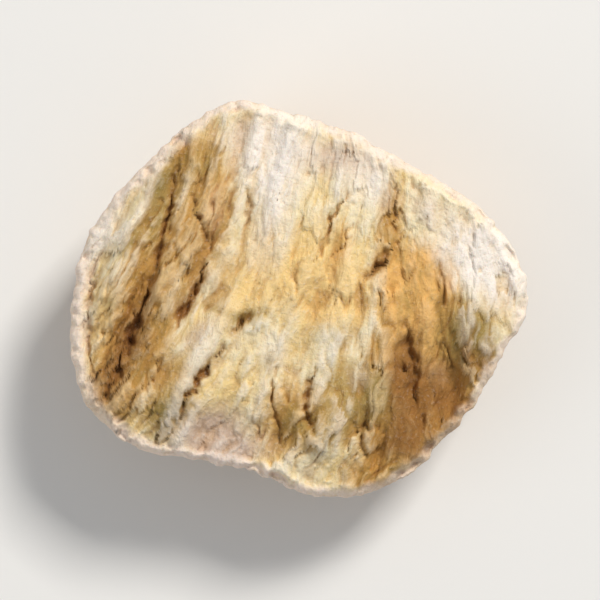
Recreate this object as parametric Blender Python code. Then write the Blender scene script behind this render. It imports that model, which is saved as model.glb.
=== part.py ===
"""One slice of dried ginseng root, lying on its lower cut.

Metres, +Z up, with the origin on the table under the middle of the slice's box. From above, +X is to the
right and +Y is up; the root's fibres run roughly along Y and lean to the right at their upper ends.

The slice grew and was cut as one piece, so it is one solid: a thin cortex rim round a torn, fibrous upper
face, a wall that crumpled as the root dried, and a flat knife cut underneath with a few open cracks.
Everything below is worked out in millimetres and scaled to metres once, at the end.
"""

import math
from collections import namedtuple

import bmesh
import bpy
from mathutils import Matrix, Vector, noise

MM = 0.001

# Each layer of noise is this much finer than the one before
LAYER_STEP = 2.0

# Driving dimensions, in millimetres
LENGTH = 9.5
WIDTH = 8.2
THICKNESS = 3.6
FACE_HEIGHT = 3.0
FOOT_RADIUS = 0.35

# The rounding of the upper edge, tight on the left and broad on the right
RIM_RADIUS = 0.28
RIM_RADIUS_SWING = 0.05
RIM_BROAD_BEARING = math.radians(15)

# The outline seen from above, anticlockwise from the blunt right-hand tip
OUTLINE = [
    (4.70, 0.15),
    (4.15, 1.45),
    (2.20, 2.85),
    (0.10, 3.80),
    (-1.35, 4.12),
    (-2.00, 3.80),
    (-3.10, 2.90),
    (-4.25, 1.50),
    (-4.70, -0.35),
    (-4.40, -2.05),
    (-3.40, -2.98),
    (-2.20, -3.25),
    (-1.00, -3.50),
    (0.45, -4.05),
    (1.80, -3.85),
    (3.05, -2.75),
    (4.15, -1.15),
]

# The wall's foot is drawn in under the rim by this share of the radius, most of it on one side, along a
# curve of this power
FOOT_INSET = 0.07
FOOT_INSET_SWING = 0.04
FOOT_INSET_BEARING = math.radians(-50)
FOOT_INSET_POWER = 1.5
WALL_BULGE = 0.02

# Dents of the dried wall: their depth as a share of the radius, and how many there are across the fibres,
# along them and up the wall. Smaller dents lie in larger ones, and all of them lie inside the outline.
CRUMPLE_DEPTH = 0.07
CRUMPLE_SINK = 0.45
CRUMPLES = Vector((2.1, 1.1, 1.5))
CRUMPLE_FALLOFF = 0.8
CRUMPLE_LAYERS = 3

# The bark sinks in below the rim by this much, and comes out to the rim along a curve of this power
BARK_SINK = 0.13
BARK_SINK_POWER = 5

# Upright folds of the bark: how far apart and how long they are, their lean for each step up, the depth of
# their furrows and the height of their crests, their level of the noise and its layers
FOLD_SPACING = 1.10
FOLD_LENGTH = 3.0
FOLD_LEAN = 0.25
FOLD_FURROW = 0.05
FOLD_CREST = 0.20
FOLD_LEVEL = 3.0
FOLD_LAYERS = 2
FOLD_FALLOFF = 1.0

# The radius that the folds are spaced out on, the share of them that is left at the rim, and the power of the
# curve along which they fade towards it
MEAN_REACH = 4.4
RIM_FOLD_SHARE = 0.4
FOLD_FADE_POWER = 8

# Mesh fineness: cells across the fibres and along them on each face, and rows up the wall
CELLS_ACROSS = 70
CELLS_ALONG = 30
WALL_ROWS = 8

# The grid's columns are turned to run with the cracks: clockwise on the left, the other way on the right
GRID_TURN = math.radians(-4)
GRID_TURN_SWING = math.radians(13)

# How far the cells crowd towards the rim, where the face turns down
RIM_CROWDING = 0.08

# A crack: its route, its half width at the surface and its depth, in millimetres. At its ends it has this
# share of its depth.
Crack = namedtuple("Crack", "route half_width depth")
CRACK_END_SHARE = 0.35

FACE_CRACKS = [
    # the long split down the left side, widest in its lower half
    Crack([(-2.50, 2.80), (-2.70, 1.85), (-2.90, 1.10), (-3.05, 0.30)], 0.18, 0.34),
    Crack([(-3.00, 0.55), (-3.25, -0.15), (-3.52, -0.80), (-3.70, -1.25), (-3.95, -1.90)], 0.26, 0.60),
    # the second split beside it, with a short fork at its upper end
    Crack([(-2.20, 2.20), (-2.02, 1.55), (-1.80, 1.00)], 0.17, 0.28),
    Crack([(-1.85, 0.88), (-2.24, 0.22), (-2.44, -0.24), (-2.62, -0.52)], 0.18, 0.36),
    Crack([(-2.70, -1.05), (-2.95, -1.45), (-3.15, -1.95)], 0.17, 0.24),
    # the slanted third split, which comes out of the middle of the face
    Crack([(-0.82, -0.20), (-1.22, -0.38), (-1.50, -0.74)], 0.19, 0.26),
    Crack([(-1.58, -0.90), (-1.84, -1.28), (-2.10, -1.56), (-2.30, -1.96), (-2.48, -2.40)], 0.21, 0.40),
    # the edge of the raised flake at the upper left
    Crack([(-1.15, 2.40), (-1.05, 1.95), (-1.20, 1.35)], 0.18, 0.22),
    # the slit of the upper middle
    Crack([(0.90, 2.20), (0.62, 1.65), (0.25, 0.75)], 0.17, 0.28),
    # the slit at the left of the right-hand hollow, shallow above and deep where it slants inwards
    Crack([(1.92, 2.45), (1.92, 1.75), (1.86, 1.15)], 0.17, 0.20),
    Crack([(1.88, 1.20), (1.66, 0.82), (1.22, 0.42)], 0.19, 0.36),
    # the deep split on the left of the lower right hollow
    Crack([(2.12, -0.40), (2.22, -1.05), (2.24, -1.90), (2.40, -2.60)], 0.24, 0.52),
    # slits that open on the lower edge
    Crack([(0.28, -1.25), (0.08, -1.95), (0.24, -2.75)], 0.18, 0.34),
    Crack([(-0.52, -1.15), (-0.58, -2.00), (-0.40, -2.95)], 0.17, 0.26),
    Crack([(1.36, -1.95), (1.25, -2.60), (1.32, -3.25)], 0.17, 0.26),
    # the groove inside the left-hand rim
    Crack([(-4.02, 1.30), (-4.25, 0.20), (-4.25, -1.00), (-3.98, -2.20)], 0.20, 0.16),
]

UNDERSIDE_CRACKS = [
    Crack([(-2.7, 2.0), (-3.1, 0.4), (-3.2, -1.4)], 0.26, 0.32),
    Crack([(-0.9, 3.0), (-1.4, 1.3), (-1.5, -0.2)], 0.22, 0.26),
    Crack([(-0.9, -1.0), (-1.2, -2.4)], 0.22, 0.24),
    Crack([(1.7, 2.3), (1.2, 1.0), (1.1, -0.6), (0.9, -2.3)], 0.28, 0.36),
    Crack([(3.0, 1.0), (2.8, -0.4), (2.3, -1.9)], 0.22, 0.28),
]

# A swell, or a hollow where its height is negative: an oval hill along the fibres
Swell = namedtuple("Swell", "x y across along lean height")

FACE_SWELLS = [
    # the pale plateau from the top of the face to its middle
    Swell(0.00, 1.60, 1.10, 2.00, 0.15, 0.26),
    # the raised flake at the upper left
    Swell(-1.65, 2.30, 0.42, 1.00, 0.10, 0.22),
    # ridges between the splits of the left side
    Swell(-2.45, 0.60, 0.28, 1.30, 0.42, 0.22),
    Swell(-3.70, 0.40, 0.30, 1.50, 0.35, 0.16),
    Swell(-1.85, -0.80, 0.50, 0.90, 0.55, 0.20),
    # the hollow at the right, and its shaded lower end
    Swell(2.60, 0.10, 0.65, 0.90, -0.10, -0.16),
    Swell(2.95, -1.60, 0.60, 1.00, -0.35, -0.45),
    # the ridge on its inner side
    Swell(1.70, -1.20, 0.32, 1.30, 0.05, 0.20),
    # the low fans of the lower edge
    Swell(0.75, -2.60, 0.35, 0.90, 0.00, 0.16),
    Swell(-1.30, -2.60, 0.80, 0.45, 0.30, -0.16),
]

# Slopes of the face's outer parts: bearing, where each starts and ends along it, and its drop
Slope = namedtuple("Slope", "bearing start end drop")

FACE_SLOPES = [
    Slope(math.radians(8), 2.3, 5.0, 0.55),
    Slope(math.radians(185), 2.6, 5.0, 0.45),
    Slope(math.radians(-85), 1.5, 4.4, 0.50),
    Slope(math.radians(-38), 1.8, 4.6, 0.40),
]

# Fibre bundles: their width across and length along, how far they stand up, the level of the endless noise
# that they are read from, and how many layers of it make them
BUNDLE_WIDTH = 0.55
BUNDLE_LENGTH = 2.6
BUNDLE_HEIGHT = 0.15
BUNDLE_LEVEL = 4.0
BUNDLE_LAYERS = 2
BUNDLE_FALLOFF = 1.0

# Lumps that the torn flesh broke into: their width and length, the height of each one's crown, how much one
# stands above another, their level of the noise, and the stretch that gives neighbours unlike heights
LUMP_WIDTH = 0.42
LUMP_LENGTH = 0.85
LUMP_DOME = 0.08
LUMP_STEP = 0.12
LUMP_LEVEL = 57.0
LUMP_SHUFFLE = 37.7

# The fibres lean to the right by this much for each step up, and fan out towards the left
FIBRE_LEAN = 0.27
FIBRE_FAN = 0.075

# Relief dies out between these distances from the edge, which leaves the rim whole
RIM_CLEAR = 0.10
RIM_BLEND = 0.45


def smooth_step(value, low, high):
    """0 at low, 1 at high, with level ends."""
    share = min(max((value - low) / (high - low), 0.0), 1.0)
    return share * share * (3.0 - 2.0 * share)


def polar_rim():
    """The outline's points as (bearing, distance), in order of bearing, with one turn's overlap each way."""
    points = sorted((math.atan2(y, x) % math.tau, math.hypot(x, y)) for x, y in OUTLINE)
    before = [(bearing - math.tau, reach) for bearing, reach in points[-2:]]
    after = [(bearing + math.tau, reach) for bearing, reach in points[:2]]
    return before + points + after


RIM = polar_rim()


def outline_reach(bearing):
    """Distance from the middle to the outline along a bearing, smooth through the outline's points."""
    bearing %= math.tau
    place = max(i for i in range(1, len(RIM) - 2) if RIM[i][0] <= bearing)
    (a0, r0), (a1, r1), (a2, r2), (a3, r3) = RIM[place - 1:place + 3]
    span = a2 - a1
    t = (bearing - a1) / span
    slope_1 = (r2 - r0) / (a2 - a0) * span
    slope_2 = (r3 - r1) / (a3 - a1) * span
    return (
        (2 * t ** 3 - 3 * t ** 2 + 1) * r1
        + (t ** 3 - 2 * t ** 2 + t) * slope_1
        + (3 * t ** 2 - 2 * t ** 3) * r2
        + (t ** 3 - t ** 2) * slope_2
    )


def rim_radius(bearing):
    """The rounding of the upper edge along a bearing."""
    return RIM_RADIUS + RIM_RADIUS_SWING * math.cos(bearing - RIM_BROAD_BEARING)


def wall_share(bearing, level):
    """How far out the wall stands, as a share of the outline; the level is 0 at the foot and 1 at the rim."""
    inset = FOOT_INSET + FOOT_INSET_SWING * math.cos(bearing - FOOT_INSET_BEARING)
    place = CRUMPLES * Vector((math.cos(bearing), math.sin(bearing), level))
    crumple = noise.fractal(place, CRUMPLE_FALLOFF, LAYER_STEP, CRUMPLE_LAYERS) - CRUMPLE_SINK
    dent = CRUMPLE_DEPTH * crumple * (1.0 - level ** 2)
    drawn_in = inset * (1.0 - level) ** FOOT_INSET_POWER
    return min(1.0 - drawn_in + WALL_BULGE * math.sin(math.pi * level) + dent, 1.0)


def fold_height(bearing, level):
    """How far the upright folds of the bark stand out; a furrow runs wherever the noise crosses zero."""
    x, y, z = MEAN_REACH * math.cos(bearing), MEAN_REACH * math.sin(bearing), FACE_HEIGHT * level
    place = Vector(((x - FOLD_LEAN * z) / FOLD_SPACING, y / FOLD_SPACING, FOLD_LEVEL + z / FOLD_LENGTH))
    return FOLD_CREST * abs(noise.fractal(place, FOLD_FALLOFF, LAYER_STEP, FOLD_LAYERS)) - FOLD_FURROW


def wall_reach(bearing, level):
    """Distance from the middle to the wall along a bearing; nowhere does it stand out beyond the rim."""
    outline = outline_reach(bearing)
    rim = outline + RIM_FOLD_SHARE * fold_height(bearing, 1.0)
    sunk = outline * wall_share(bearing, level) - BARK_SINK * (1.0 - level ** BARK_SINK_POWER)
    fold_share = 1.0 - (1.0 - RIM_FOLD_SHARE) * level ** FOLD_FADE_POWER
    return min(sunk + fold_share * fold_height(bearing, level), rim)


def crack_depth(x, y, cracks):
    """The depth of the deepest crack at a point of a face; cracks narrow towards their ends."""
    deepest = 0.0
    point = Vector((x, y))
    for crack in cracks:
        joints = [Vector(joint) for joint in crack.route]
        for index, (start, end) in enumerate(zip(joints, joints[1:])):
            run = end - start
            share = min(max((point - start).dot(run) / run.length_squared, 0.0), 1.0)
            gap = (point - start - run * share).length
            if gap > crack.half_width:
                continue
            along = (index + share) / (len(joints) - 1)
            open_share = CRACK_END_SHARE + (1.0 - CRACK_END_SHARE) * math.sin(math.pi * along)
            profile = (1.0 - (gap / crack.half_width) ** 2) ** 2
            deepest = max(deepest, crack.depth * open_share * profile)
    return deepest


def swell_height(x, y):
    """The sum of the face's swells and hollows."""
    total = 0.0
    for swell in FACE_SWELLS:
        along = (y - swell.y) / swell.along
        across = (x - swell.x - swell.lean * (y - swell.y)) / swell.across
        total += swell.height * math.exp(-across ** 2 - along ** 2)
    return total


def slope_drop(x, y):
    """How far the face has fallen away towards its outer parts."""
    drop = 0.0
    for slope in FACE_SLOPES:
        out = x * math.cos(slope.bearing) + y * math.sin(slope.bearing)
        drop += slope.drop * smooth_step(out, slope.start, slope.end)
    return drop


def fibre_height(x, y):
    """The uneven tops of the fibre bundles and of the lumps they broke into, all longest along the fibres."""
    across = x - y * (FIBRE_LEAN - FIBRE_FAN * x)
    place = Vector((across / BUNDLE_WIDTH, y / BUNDLE_LENGTH, BUNDLE_LEVEL))
    bundle = noise.fractal(place, BUNDLE_FALLOFF, LAYER_STEP, BUNDLE_LAYERS)
    away, middles = noise.voronoi(Vector((across / LUMP_WIDTH, y / LUMP_LENGTH, LUMP_LEVEL)))
    step = noise.cell(middles[0] * LUMP_SHUFFLE)
    return BUNDLE_HEIGHT * bundle - LUMP_DOME * away[0] ** 2 + LUMP_STEP / 2 * step


def rounding(radius, gap):
    """How far a rounded edge has dropped, at a distance in from it."""
    inner = max(radius - gap, 0.0)
    return radius - math.sqrt(radius ** 2 - inner ** 2)


def face_height(x, y, gap):
    """The upper face's height above the table, at a distance in from the edge."""
    relief = swell_height(x, y) + fibre_height(x, y) - crack_depth(x, y, FACE_CRACKS)
    return FACE_HEIGHT - slope_drop(x, y) + relief * smooth_step(gap, RIM_CLEAR, RIM_BLEND)


def underside_height(x, y, gap):
    """The knife cut is the table's plane, apart from its cracks."""
    return crack_depth(x, y, UNDERSIDE_CRACKS) * smooth_step(gap, RIM_CLEAR, RIM_BLEND)


def square_to_disc(u, v):
    """A point of a square from -1 to 1 as a share of the way out from a disc's middle, and a bearing.

    The square's columns become arcs along the fibres, so the relief runs with the mesh and not across it.
    """
    across = u * math.sqrt(1.0 - v * v / 2)
    along = v * math.sqrt(1.0 - u * u / 2)
    bearing = math.atan2(along, across)
    return min(math.hypot(across, along), 1.0), bearing + GRID_TURN + GRID_TURN_SWING * math.cos(bearing)


def slice_point(u, v, level):
    """The place of a point of the square block: its two grids are the faces, and the rest is the wall."""
    share, bearing = square_to_disc(u, v)
    share += RIM_CROWDING * math.sin(math.pi * share)
    reach = wall_reach(bearing, level)
    x = share * reach * math.cos(bearing)
    y = share * reach * math.sin(bearing)
    gap = (1.0 - share) * reach
    if level == 1.0:
        return Vector((x, y, face_height(x, y, gap) - rounding(rim_radius(bearing), gap)))
    if level == 0.0:
        depth = underside_height(x, y, gap) + rounding(FOOT_RADIUS, gap)
        return Vector((x, y, depth))
    rim_height = face_height(x, y, 0.0) - rim_radius(bearing)
    return Vector((x, y, FOOT_RADIUS + level * (rim_height - FOOT_RADIUS)))


def square_block():
    """A block from -1 to 1 and one unit high: a grid at each end, and rows of faces up the wall."""
    block = bmesh.new()
    for level in (0.0, 1.0):
        place = Matrix.Translation((0.0, 0.0, level))
        bmesh.ops.create_grid(block, x_segments=CELLS_ACROSS, y_segments=CELLS_ALONG, size=1.0, matrix=place)
    rims = [edge for edge in block.edges if edge.is_boundary]
    bmesh.ops.bridge_loops(block, edges=rims)
    uprights = [edge for edge in block.edges if edge.verts[0].co.z != edge.verts[1].co.z]
    bmesh.ops.subdivide_edges(block, edges=uprights, cuts=WALL_ROWS - 1)
    return block


def fit_to_box(mesh):
    """Centres the slice over the origin, stands it on the table and gives it its driving dimensions."""
    lows = [min(vertex.co[axis] for vertex in mesh.verts) for axis in range(3)]
    highs = [max(vertex.co[axis] for vertex in mesh.verts) for axis in range(3)]
    sizes = (LENGTH, WIDTH, THICKNESS)
    for vertex in mesh.verts:
        for axis in range(3):
            middle = (lows[axis] + highs[axis]) / 2 if axis < 2 else lows[axis]
            vertex.co[axis] = (vertex.co[axis] - middle) * sizes[axis] / (highs[axis] - lows[axis])


def root_material():
    """Dry, matt, cream to ochre root."""
    material = bpy.data.materials.new("dried_root")
    material.use_nodes = True
    shader = material.node_tree.nodes["Principled BSDF"]
    shader.inputs["Base Color"].default_value = (0.60, 0.41, 0.20, 1.0)
    shader.inputs["Roughness"].default_value = 0.85
    shader.inputs["Metallic"].default_value = 0.0
    return material


def ginseng_slice():
    """Shapes the block into the slice and returns its object."""
    block = square_block()
    for vertex in block.verts:
        vertex.co = slice_point(*vertex.co)
    fit_to_box(block)
    bmesh.ops.triangulate(block, faces=block.faces, quad_method="BEAUTY")
    bmesh.ops.recalc_face_normals(block, faces=block.faces)
    bmesh.ops.scale(block, vec=(MM, MM, MM), verts=block.verts)
    mesh = bpy.data.meshes.new("ginseng_slice")
    block.to_mesh(mesh)
    block.free()
    mesh.shade_smooth()
    mesh.materials.append(root_material())
    slice_object = bpy.data.objects.new("ginseng_slice", mesh)
    bpy.context.scene.collection.objects.link(slice_object)
    return slice_object


for old in list(bpy.data.objects):
    bpy.data.objects.remove(old, do_unlink=True)
ginseng_slice()
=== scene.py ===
"""The looks of one slice of dried ginseng root.

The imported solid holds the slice's size and main form. Here a finer mesh of the same form stands for it: the
torn upper face gets its ledges, crevices and strands, the wall its bark wrinkles, and the knife cut below its
faint grain. The colours come from masks stored on the mesh, which the material mixes by nodes.

Forms are worked out in millimetres, in the frame's own axes, and scaled to metres once.
"""

import math
from collections import namedtuple

import bpy
import numpy as np
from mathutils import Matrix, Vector, noise


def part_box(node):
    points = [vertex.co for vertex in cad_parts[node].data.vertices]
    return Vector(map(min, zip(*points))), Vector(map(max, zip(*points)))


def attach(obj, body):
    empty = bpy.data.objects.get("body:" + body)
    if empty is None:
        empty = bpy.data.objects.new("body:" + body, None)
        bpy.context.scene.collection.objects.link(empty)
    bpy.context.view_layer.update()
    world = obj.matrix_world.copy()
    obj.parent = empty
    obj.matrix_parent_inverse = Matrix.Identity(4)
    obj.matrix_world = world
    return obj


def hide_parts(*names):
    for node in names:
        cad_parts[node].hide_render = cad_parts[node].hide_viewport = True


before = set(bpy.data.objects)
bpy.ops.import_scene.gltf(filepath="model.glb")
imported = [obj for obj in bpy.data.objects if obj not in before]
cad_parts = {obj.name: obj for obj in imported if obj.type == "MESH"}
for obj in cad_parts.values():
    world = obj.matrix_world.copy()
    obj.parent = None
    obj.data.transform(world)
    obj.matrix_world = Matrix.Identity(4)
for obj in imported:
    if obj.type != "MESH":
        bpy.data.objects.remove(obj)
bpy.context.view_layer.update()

MM = 0.001

# Mesh fineness: cells across the fibres and along them on the upper face, and rows up the wall. Underneath,
# cells are twice as wide and as long, and around the wall they are twice as wide.
CELLS_ACROSS = 340
CELLS_ALONG = 160
WALL_ROWS = 54

# The turn of the grid's columns, clockwise on the left and the other way on the right, and how far the cells
# crowd towards the rim
GRID_TURN = math.radians(-4)
GRID_TURN_SWING = math.radians(13)
RIM_CROWDING = 0.08

# The slice's main form, in millimetres
FACE_HEIGHT = 3.0
FOOT_RADIUS = 0.30
RIM_RADIUS = 0.22
RIM_RADIUS_SWING = 0.05
RIM_BROAD_BEARING = math.radians(15)
OUTLINE = np.array([
    (4.70, 0.15),
    (4.15, 1.45),
    (2.20, 2.85),
    (0.10, 3.80),
    (-1.35, 4.12),
    (-2.00, 3.80),
    (-3.10, 2.90),
    (-4.25, 1.50),
    (-4.70, -0.35),
    (-4.40, -2.05),
    (-3.40, -2.98),
    (-2.20, -3.25),
    (-1.00, -3.50),
    (0.45, -4.05),
    (1.80, -3.85),
    (3.05, -2.75),
    (4.15, -1.15),
])

# The share of the radius by which the wall's foot is drawn in, most at one bearing, and the wall's bulge
FOOT_INSET = 0.07
FOOT_INSET_SWING = 0.04
FOOT_INSET_BEARING = math.radians(-50)
FOOT_INSET_POWER = 1.5
WALL_BULGE = 0.02

# The wall's dents: their depth as a share of the radius, how far they all sink in, and their noise's scale
# along the slice's axes, falloff and octaves
CRUMPLE_DEPTH = 0.07
CRUMPLE_SINK = 0.45
CRUMPLES = (2.1, 1.1, 1.5)
CRUMPLE_FALLOFF = 0.8
CRUMPLE_OCTAVES = 3

# A crack: its route, its half width at the surface and its depth
Crack = namedtuple("Crack", "route half_width depth")

# The share of its depth that a crack keeps at its ends, and the soft trough in which it lies: how many times
# as wide it is, and its share of the depth
CRACK_END_SHARE = 0.35
TROUGH_WIDTH = 2.6
TROUGH_SHARE = 0.38

# How much a crack's width varies on the way, between which shares of it, the share of the depth left where
# strands bridge the crack, and the band of the noise over which they do
CRACK_WIDTH_SWING = 1.5
CRACK_WIDTH_RANGE = (0.25, 1.9)
BRIDGE_SHARE = 0.5
BRIDGE_BAND = (-0.40, -0.05)

FACE_CRACKS = [
    # the long split down the left side, widest in its lower half
    Crack([(-2.50, 2.80), (-2.70, 1.85), (-2.90, 1.10), (-3.05, 0.30)], 0.055, 0.26),
    Crack([(-3.00, 0.55), (-3.25, -0.15), (-3.52, -0.80), (-3.70, -1.25), (-3.95, -1.90)], 0.11, 0.46),
    # the second split beside it, with a short fork at its upper end
    Crack([(-2.20, 2.20), (-2.02, 1.55), (-1.80, 1.00)], 0.05, 0.20),
    Crack([(-1.85, 0.88), (-2.24, 0.22), (-2.44, -0.24), (-2.62, -0.52)], 0.07, 0.34),
    Crack([(-2.70, -1.05), (-2.95, -1.45), (-3.15, -1.95)], 0.045, 0.16),
    # the slanted third split, which comes out of the middle of the face
    Crack([(-0.82, -0.20), (-1.22, -0.38), (-1.50, -0.74)], 0.055, 0.20),
    Crack([(-1.58, -0.90), (-1.84, -1.28), (-2.10, -1.56), (-2.30, -1.96), (-2.48, -2.40)], 0.065, 0.30),
    # the edge of the raised flake at the upper left
    Crack([(-1.15, 2.40), (-1.05, 1.95), (-1.20, 1.35)], 0.05, 0.14),
    # slits of the upper middle
    Crack([(0.90, 2.20), (0.62, 1.65), (0.25, 0.75)], 0.05, 0.18),
    Crack([(1.02, 1.60), (0.88, 1.20), (0.55, 0.85)], 0.045, 0.12),
    Crack([(0.02, 0.90), (-0.18, 0.50), (-0.08, 0.05)], 0.045, 0.11),
    Crack([(1.92, 2.45), (1.92, 1.75), (1.86, 1.15)], 0.05, 0.13),
    Crack([(1.88, 1.20), (1.66, 0.82), (1.22, 0.42)], 0.07, 0.28),
    # the deep split on the left of the lower right hollow
    Crack([(2.12, -0.40), (2.22, -1.05), (2.24, -1.90), (2.40, -2.60)], 0.13, 0.30),
    # slits that open on the lower edge
    Crack([(0.28, -1.25), (0.08, -1.95), (0.24, -2.75)], 0.055, 0.22),
    Crack([(-0.52, -1.15), (-0.58, -2.00), (-0.40, -2.95)], 0.05, 0.16),
    Crack([(1.36, -1.95), (1.25, -2.60), (1.32, -3.25)], 0.055, 0.16),
    # the groove inside the left-hand rim
    Crack([(-4.05, 1.10), (-4.26, 0.50), (-4.36, -0.05), (-4.36, -1.05), (-4.16, -1.90)], 0.07, 0.14),
]

UNDERSIDE_CRACKS = [
    Crack([(-2.7, 2.0), (-3.1, 0.4), (-3.2, -1.4)], 0.20, 0.32),
    Crack([(-0.9, 3.0), (-1.4, 1.3), (-1.5, -0.2)], 0.17, 0.26),
    Crack([(-0.9, -1.0), (-1.2, -2.4)], 0.17, 0.24),
    Crack([(1.7, 2.3), (1.2, 1.0), (1.1, -0.6), (0.9, -2.3)], 0.22, 0.36),
    Crack([(3.0, 1.0), (2.8, -0.4), (2.3, -1.9)], 0.17, 0.28),
]

# An oval hill along the fibres, or a hollow where its height is negative. As a patch of colour, its height is
# the strength of the colour at its middle.
Swell = namedtuple("Swell", "x y across along lean height")

FACE_SWELLS = [
    Swell(0.00, 1.60, 1.10, 2.00, 0.15, 0.26),
    Swell(-1.65, 2.30, 0.42, 1.00, 0.10, 0.22),
    Swell(-2.45, 0.60, 0.28, 1.30, 0.42, 0.22),
    Swell(-3.70, 0.40, 0.30, 1.50, 0.35, 0.16),
    Swell(-1.85, -0.80, 0.50, 0.90, 0.55, 0.20),
    Swell(2.60, 0.10, 0.65, 0.90, -0.10, -0.16),
    Swell(2.95, -1.60, 0.60, 1.00, -0.35, -0.45),
    Swell(1.70, -1.20, 0.32, 1.30, 0.05, 0.20),
    Swell(0.75, -2.60, 0.35, 0.90, 0.00, 0.16),
    Swell(-1.30, -2.60, 0.80, 0.45, 0.30, -0.16),
]

# Slopes of the face's outer parts: bearing, where each starts and ends along it, and its drop
Slope = namedtuple("Slope", "bearing start end drop")

FACE_SLOPES = [
    Slope(math.radians(8), 2.3, 5.0, 0.55),
    Slope(math.radians(185), 2.6, 5.0, 0.45),
    Slope(math.radians(-85), 1.5, 4.4, 0.50),
    Slope(math.radians(-38), 1.8, 4.6, 0.40),
]

# The lean of the fibres, and how they fan out
FIBRE_LEAN = 0.27
FIBRE_FAN = 0.075

# Spreads the middles of cells over the noise, so that neighbours get unlike numbers
CELL_SHUFFLE = 37.7

# A field of noise along the fibres: its scale across and along them, its layer of the noise and its octaves
Field = namedtuple("Field", "across along layer octaves")
WANDER = Field(1.10, 1.50, 9.0, 2)
KINKS = Field(0.30, 0.42, 14.0, 2)
BUNDLES = Field(0.55, 2.60, 4.0, 2)
LEDGES = Field(0.50, 1.30, 12.0, 3)
CREVICES = Field(0.40, 1.30, 21.0, 2)
CREVICE_BREAKS = Field(0.50, 0.60, 24.0, 1)
STRANDS = Field(0.13, 0.80, 31.0, 2)
FRAYS = Field(0.07, 0.60, 71.0, 2)
CRUST = Field(0.16, 0.20, 41.0, 3)
TORN = Field(1.60, 1.90, 6.0, 1)
UNDERSIDE_GRAIN = Field(0.30, 2.00, 51.0, 2)
RAGGED = Field(0.20, 0.26, 3.0, 3)
JOGS = Field(0.90, 0.34, 17.0, 1)
BRIDGES = Field(0.70, 0.28, 27.0, 2)
RAGGED_WIDTH = Field(0.30, 0.35, 8.0, 2)
VEINS = Field(0.55, 1.20, 81.0, 2)
NIBBLES = Field(0.30, 0.30, 87.0, 2)
NICKS = Field(0.55, 0.55, 93.0, 2)

# The torn face's relief: how far the fibres wander, and the sizes, heights and depths of its forms. A layer
# is a place in the noise, and a level is taken off a form, so that it stands about the face's own height.
WANDER_REACH = 0.15
KINK_REACH = 0.08
BUNDLE_HEIGHT = 0.15
LUMP_ACROSS = 0.42
LUMP_ALONG = 0.85
LUMP_LAYER = 57.0
LUMP_DOME = 0.10
LUMP_LEVEL = 0.4
LUMP_STEP = 0.16
LEDGE_HEIGHT = 0.17
LEDGE_STEPS = 5.0
LEDGE_RISER = 0.35
CREVICE_WIDTH = 0.09
CREVICE_DEPTH = 0.10
CREVICE_BAND = (-0.35, 0.15)
VEIN_WIDTH = 0.16
STRAND_HEIGHT = 0.04
STRAND_LEVEL = 0.25
TUFT_ACROSS = 0.24
TUFT_ALONG = 1.00
TUFT_LAYER = 33.0
TUFT_STEP = 0.08
FRAY_REACH = 0.16
CRUST_HEIGHT = 0.022
PORE_SPACING = 0.42
PORE_LAYER = 45.0
PORE_RADIUS = 0.16
PORE_DEPTH = 0.06
PORE_SHARE = 0.55
RAGGED_REACH = 0.08
JOG_REACH = 0.08
JOG_STEPS = 2.0
JOG_RISER = 0.3
GRAIN_HEIGHT = 0.04

# How rough the face is: the noise's band from whole to torn, the roughness left where the face is whole and
# where it is pale, how much honey counts as golden there, and how much of it chalk takes away
TORN_BAND = (-0.6, 0.2)
ROUGH_IF_WHOLE = 0.4
ROUGH_IF_PALE = 0.35
ROUGH_FROM_HONEY = 0.35
ROUGH_LOST_TO_CHALK = 0.6

# The share of the strands and of the lumps that is left where the face isn't rough
STRANDS_IF_CALM = 0.4
LUMPS_IF_CALM = 0.25

# How much the olive patches add to the golden share of the face, and how much chalk takes away
GOLDEN_FROM_OLIVE = 0.6
GOLDEN_LOST_TO_CHALK = 0.5

# The cells each way over which the face's height is averaged, to find its cavities and its lumps, and those
# for the cavities underneath
CAVITY_CELLS = (4, 7)
LUMP_CELLS = (10, 18)
UNDERSIDE_CELLS = (3, 5)

# Relief dies out between these distances from the edge, which leaves the rim whole, and the line wavers
RIM_CLEAR = 0.10
RIM_BLEND = 0.30
NIBBLE_REACH = 0.11

# The bark, worked out on an upright cylinder as wide as the slice: folds and wrinkles, the rings that cross
# them in broken lines, and a fine crust. The folds are those of the solid. Furrows are this deep, and crests
# this high where the noise is strongest.
MEAN_REACH = 4.4
BARK_LEAN = 0.25
FOLD_SPACING = 1.10
FOLD_LENGTH = 3.0
FOLD_FURROW = 0.05
FOLD_CREST = 0.20
FOLD_LAYER = 3.0
WRINKLE_SPACING = 0.42
WRINKLE_LENGTH = 2.4
WRINKLE_FURROW = 0.042
WRINKLE_CREST = 0.21
WRINKLE_LINE = 0.07
RING_SPACING = 1.10
RING_LENGTH = 2.2
RING_LAYER = 7.0
RING_DEPTH = 0.06
RING_WIDTH = 0.045
RING_BREAK_SIZE = 0.6
RING_BREAK_LAYER = 9.0
RING_BREAK_BAND = (-0.1, 0.2)
BARK_CRUST = 0.020
BARK_CRUST_SIZE = 0.15

# The rim: its low lip, and the share of its height that this has on the whole; the share of the bark's
# wrinkles that is left there, and how far in they reach; how much crustier than the face it is; and its nicks
LIP_HEIGHT = 0.05
LIP_WIDTH = 0.11
LIP_SHARE = 0.6
RIM_WRINKLES = 0.4
RIM_WRINKLE_REACH = 0.3
RIM_CRUST = 1.8
NICK_DEPTH = 0.14
NICK_BAND = (0.10, 0.45)

# The pale rim fades between these distances from the edge. It is wider by the swing towards one bearing.
PALE_BAND = (0.08, 0.26)
RIM_BAND_SWING = 0.9
RIM_BAND_BEARING = math.radians(178)

# The share of the pale rim that is gone where the stains and the painted shadow reach it, which paints
# shade on the rim there, and how much ochre counts as a stain
RIM_WEAR_AND_SHADE = 0.65
RIM_WEAR_AND_SHADE_FROM_OCHRE = 0.5

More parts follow.
